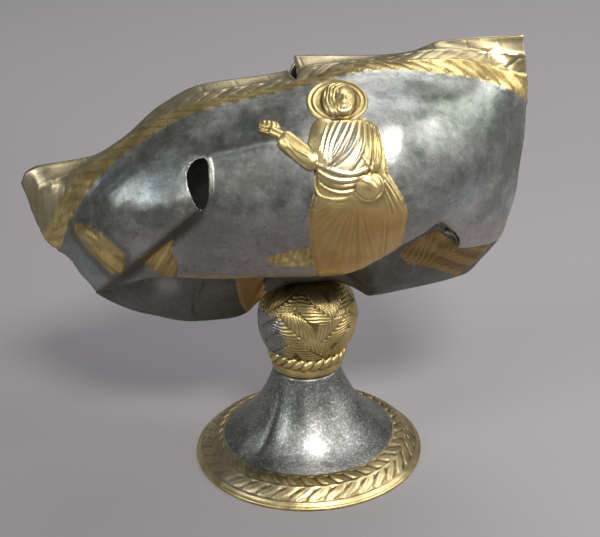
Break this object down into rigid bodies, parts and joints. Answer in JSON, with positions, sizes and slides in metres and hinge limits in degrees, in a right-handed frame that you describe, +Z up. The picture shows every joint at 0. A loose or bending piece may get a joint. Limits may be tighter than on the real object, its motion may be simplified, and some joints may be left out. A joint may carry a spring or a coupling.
{
  "type": "chalice",
  "caption": "Crushed silver-gilt chalice: a flattened, folded and torn bowl with figures in relief on a leafed knop, rope collar and flared wreathed foot.",
  "frame": {"origin": "middle of the outline in plan, at the level that the foot stands on", "axes": "+Z up, +X to the right along the flattened bowl, +Y away from the side with the standing figure"},
  "size_m": [0.219, 0.1168, 0.2031],
  "materials": {
    "silver_bowl": "tarnished silver sheet with a gilt rim wreath and gilt figures",
    "gilt_knop": "worn gilding over silver leaves",
    "gilt_collar": "worn gilding on a twisted rope ring",
    "silver_foot": "speckled silver with a gilt wreath border"
  },
  "bodies": {
    "root": {"bowl": "silver_bowl", "knop": "gilt_knop", "rope_collar": "gilt_collar", "foot": "silver_foot"}
  },
  "joints": []
}
